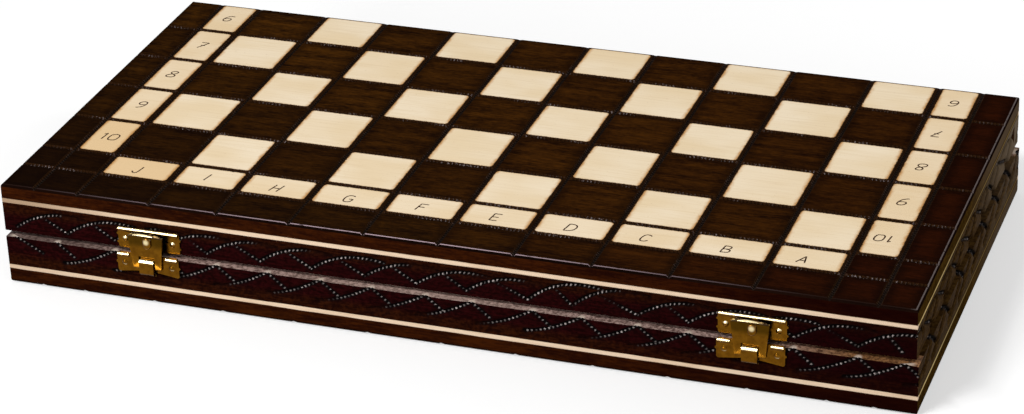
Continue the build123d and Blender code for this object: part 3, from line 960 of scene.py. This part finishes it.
def close_wall(bm, long_wall, outward, rim_z, nicked):
    """Turn the carved skin into a closed batten. A nick's bare wood ends at the lip."""
    front = max(vert.co.dot(outward) for vert in bm.verts)
    if long_wall:
        ends = [edge for edge in open_edges(bm) if abs(edge.verts[0].co.z - edge.verts[1].co.z) > 0.01]
        bmesh.ops.bridge_loops(bm, edges=ends)
        reach = max(abs(vert.co.x) for vert in bm.verts) - 12.0
        lip = {vert for vert in bm.verts
               if abs(vert.co.z - rim_z) < 0.01 and vert.co.dot(outward) > front - lip_width}
        lip = [edge for edge in open_edges(bm)
               if lip.issuperset(edge.verts) and max(abs(vert.co.x) for vert in edge.verts) < reach]
        for vert in draw_out(bm, lip):
            vert.co -= outward * lip_width
            vert[nicked] = 0.0
    else:
        for distance in (lip_width, wall_thickness):
            for vert in draw_out(bm, open_edges(bm)):
                vert.co += outward * (front - distance - vert.co.dot(outward))
                vert[nicked] = 0.0
    bmesh.ops.holes_fill(bm, edges=open_edges(bm), sides=0)
    bmesh.ops.recalc_face_normals(bm, faces=bm.faces)


front_lows = [-195, -171, -148.5, -127, -105.5, -81, -57.5, -33.5, -10.5, 11.5, 38.5, 57.5, 85.5, 107,
              128, 151, 177, 195]
front_peaks = [-195.9, -176.7, -149.4, -125.9, -101.9, -78.4, -54.4, -31.4, -7.4, 13.1, 39.6, 60.6, 84.6,
               106.1, 128.6, 149.6, 176.1, 195.1, 219.6]
side_lows = [-97.2, -72.2, -47.2, -24.2, 0.8, 25.8, 47.8, 75.8, 97.8, 121.8]
side_peaks = [-100, -75, -50, -20, 0, 25, 50, 75, 100, 124]


def by_chance(first, last):
    """Starting places for a hidden wall, about 24 mm apart."""
    places, place = [], first
    while place < last:
        places.append(place)
        place += 24 + chance.uniform(-2.5, 2.5)
    return places


make_wall("lid", "front", lid_strokes(front_lows))
make_wall("base", "front", base_strokes(front_peaks, 2), front_peaks)
make_wall("lid", "right", lid_strokes(side_lows), side_lows)
make_wall("base", "right", base_strokes(side_peaks), side_peaks)
lows = by_chance(-97, 124)
make_wall("lid", "left", lid_strokes(lows), lows)
peaks = by_chance(-97, 124)
make_wall("base", "left", base_strokes(peaks), peaks)
make_wall("lid", "back", lid_strokes(by_chance(-205, 230)))
peaks = by_chance(-205, 228)
make_wall("base", "back", base_strokes(peaks), peaks)

# %% [markdown]
# The pale strips let into the walls, one against each panel, are simple square sticks. The
# CAD has their shape exactly, so its nodes stay and only take a finish: pale straight-grained
# wood under varnish, with darker fibres and a little stain that crept in at the joints. Painted
# shade dims them towards the left of the front and the back of the sides, and the side strips
# are a golden copy of the same wood, tinted as painted shade.

# %% Inlays
inlay_from_parting = 15.35


def inlay_finish(name, pale_wood, fibre, core, axis, unshaded_at, shaded_at, shade_colour, shares):
    """Painted shade from unshaded_at to shaded_at, by a share for the base and one for the lid."""
    strip = new_finish(name)
    fibres = strip.noise((16.0, 16.0, 0.45), 4.0, 0.6)
    patches = strip.noise((22.0, 22.0, 6.0), 3.0)
    height = strip.axis("Z")
    from_core = abs(abs(height - parting_z) - inlay_from_parting)
    crept = strip.step(from_core + (patches - 0.5) * 0.5, core, core + 0.4)
    colour = strip.mix(strip.step(fibres, 0.4, 0.75) * 0.5, pale_wood, fibre)
    colour = strip.mix(strip.step(patches, 0.5, 0.8) * 0.45, colour, fibre)
    painted_shade_share = strip.step(strip.axis(axis), unshaded_at, shaded_at)
    lower, upper = shares
    painted_shade_share = painted_shade_share * (only_lid(strip, height) * (upper - lower) + lower)
    colour = strip.mix(painted_shade_share, colour, shade_colour)
    colour = strip.mix(crept, colour, (58, 34, 12))
    return strip.surface(colour, 0.45, Normal=strip.bump(fibres, 0.2))


# Painted shade dims the front strips towards the left end, more on the lid than the base.
front_strips = inlay_finish("front_inlay_strips", (234, 208, 180), (204, 168, 132), 0.72,
                            "X", -120, -200, (150, 120, 92), (0.3, 0.8))
# The side strips are a golden copy of the inlay wood, tinted as painted shade, with more painted shade
# towards the back.
side_strips_shaded = inlay_finish("side_inlay_strips_painted_shade", (246, 218, 150), (190, 150, 84), 0.3,
                           "Y", -100, 10, (78, 54, 20), (0.85, 0.82))

for half in ("lid", "base"):
    for side in facing:
        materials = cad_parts[f"{half}_{side}_inlay"].data.materials
        materials.clear()
        materials.append(front_strips if side in ("front", "back") else side_strips_shaded)
print("inlays dressed")

# %% [markdown]
# Latches and hinges are stamped from thin brass sheet. Stamping leaves a soft edge all round
# that catches the light, which a CAD edge doesn't. So each brass piece is a copy of its CAD
# mesh: its loose triangles are merged, flat areas become single faces, and a narrow Bevel
# softens the edges. Some parts of the latches are moved to where the photograph shows them.
# Light is painted by slope: faces that look up get a painted highlight and those that look
# down painted shade. A band across the lever is painted shade, and the lever's dimple keeps
# one small painted highlight.

# %% Brass
crown_y = -103.04
brass = new_finish("stamped_brass")
polish = brass.noise(2.2, 3.0)
scratches = brass.noise((0.25, 0.25, 4.0), 3.0, 0.7)
tarnish = brass.noise(7.0)
colour = brass.mix(brass.step(polish, 0.3, 0.75), (112, 74, 15), (92, 58, 9))
colour = brass.mix(brass.step(tarnish, 0.45, 0.75) * 0.5, colour, (78, 50, 8))
painted_slope_light = brass.attribute("painted_slope_light")
east, north, height = brass.parts(brass.place(), "XYZ")
# Painted shade: a dark band across the lever below its head.
lever_shade_band = brass.step(north, -101.1, -101.2) * brass.step(north, -102.5, -102.3)
colour = brass.mix(lever_shade_band * brass.step(height, 26.0, 29.5) * 0.75, colour, (54, 38, 4))
# Painted highlight: one small spot on the dimple's crown; the rest of the crown gets none.
aside = abs(abs(east - 1.4) - 132.8)
above = height - 30.6
off_painted_spot = brass.step(brass.maths("SQRT", aside * aside + above * above), 0.5, 1.7)
on_crown = brass.step(north, -102.75, -102.85) * brass.step(height, 25.6, 25.9)
on_crown = on_crown * brass.step(aside, 2.3, 2.0) * brass.step(height, 32.8, 32.5)
# Painted highlight on faces that look up; the next line paints shade on those that look down.
painted_highlight = brass.step(painted_slope_light, 0.1, 0.55) * (1.0 - off_painted_spot * on_crown)
colour = brass.mix(painted_highlight, colour, (255, 238, 186))
colour = brass.mix(brass.step(0.0 - painted_slope_light, 0.1, 0.7) * 0.8, colour, (56, 38, 6))
bump = brass.bump(scratches + polish * 2.0, 0.25, 0.00008)
roughness = 0.15 + brass.step(polish, 0.2, 0.9) * 0.12
stamped_brass = brass.surface(colour, roughness, 0.5, Metallic=1.0, Normal=bump)

pivot_z = 17.4
bar_top_z = 18.2
tongue_lift, fold_lift, head_lift, strike_lift = 2.6, 1.4, 2.0, 0.9
dimple_aside, dimple_lift = 1.0, 0.5


def reshape_latch(bm, node):
    """Set the tongue, the lever's head and the strike's top as high as in the photograph."""
    low, high = box_mm(node)
    middle = (low.x + high.x) / 2
    for vert in bm.verts:
        aside, above, in_front = abs(vert.co.x - middle), vert.co.z - pivot_z, high.y - vert.co.y
        if node.endswith("plate") and aside < 3.35:
            if in_front > 0.9 and above > -0.05:
                vert.co.z += tongue_lift
            elif in_front > 0.5 and above < -2.0:
                vert.co.z += fold_lift
        elif node.endswith("lever"):
            if above > 5.0:
                if aside < 1.95 and abs(above - 10.0) < 2.95:
                    vert.co += Vector((dimple_aside, 0, dimple_lift))
                vert.co.z += head_lift
            elif aside < 3.75 and abs(above - 2.8) < 0.05:
                vert.co.z += tongue_lift
        elif node.endswith("strike"):
            if aside < 1.6 and 7.4 < above < 12.6 and in_front > 0.7:
                vert.co += Vector((dimple_aside, 0, head_lift + dimple_lift))
            elif above > (13.85 if aside < 13.9 else 14.2):
                vert.co.z += strike_lift


def stamp_brass(node, body, edge=0.12, slope_light_share=1.0):
    """A soft-edged copy of a node. Its faces get painted light by their slope, but the lever's bar gets
    none.
    """
    bm = bmesh.new()
    bm.from_mesh(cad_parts[node].data)
    bmesh.ops.scale(bm, vec=(1000, 1000, 1000), verts=bm.verts)
    bmesh.ops.remove_doubles(bm, verts=bm.verts, dist=0.002)
    bmesh.ops.dissolve_limit(bm, angle_limit=radians(1.0), verts=bm.verts, edges=bm.edges)
    reshape_latch(bm, node)
    painted_slope_light = bm.faces.layers.float.new("painted_slope_light")
    for face in bm.faces:
        # Painted light by slope: up-facing faces get a painted highlight, down-facing ones painted shade.
        face[painted_slope_light] = face.normal.z * slope_light_share
        if node.endswith("lever"):
            centre = face.calc_center_median()
            # The lever's bar lies in shade and gets no painted highlight.
            if centre.z < bar_top_z:
                face[painted_slope_light] = 0.0
            # The dimple's front faces get a painted highlight.
            if centre.y < crown_y and face.normal.y < -0.7:
                face[painted_slope_light] = 0.4
    piece = finish_piece(bm, f"{node}_brass", body, [stamped_brass], [node], sharp=40)
    soft = piece.modifiers.new("soft_edge", "BEVEL")
    soft.width, soft.segments = edge / 1000, 2
    soft.limit_method, soft.angle_limit = "ANGLE", radians(40)


for side in ("left", "right"):
    stamp_brass(f"{side}_latch_strike", "lid")
    stamp_brass(f"{side}_latch_plate", "base")
    stamp_brass(f"{side}_latch_lever", f"{side}_lever")
    stamp_brass(f"{side}_hinge_lid_leaf", "lid", 0.08)
    stamp_brass(f"{side}_hinge_base_leaf", "base", 0.08)
    stamp_brass(f"{side}_hinge_pin", "base", 0.1)
stamp_brass("latch_lid_nails", "lid", 0.05)
# The base nails get painted shade on their tops in place of a painted highlight.
stamp_brass("latch_base_nails", "base", 0.05, slope_light_share=-0.6)
stamp_brass("hinge_lid_nails", "lid", 0.05)
stamp_brass("hinge_base_nails", "base", 0.05)
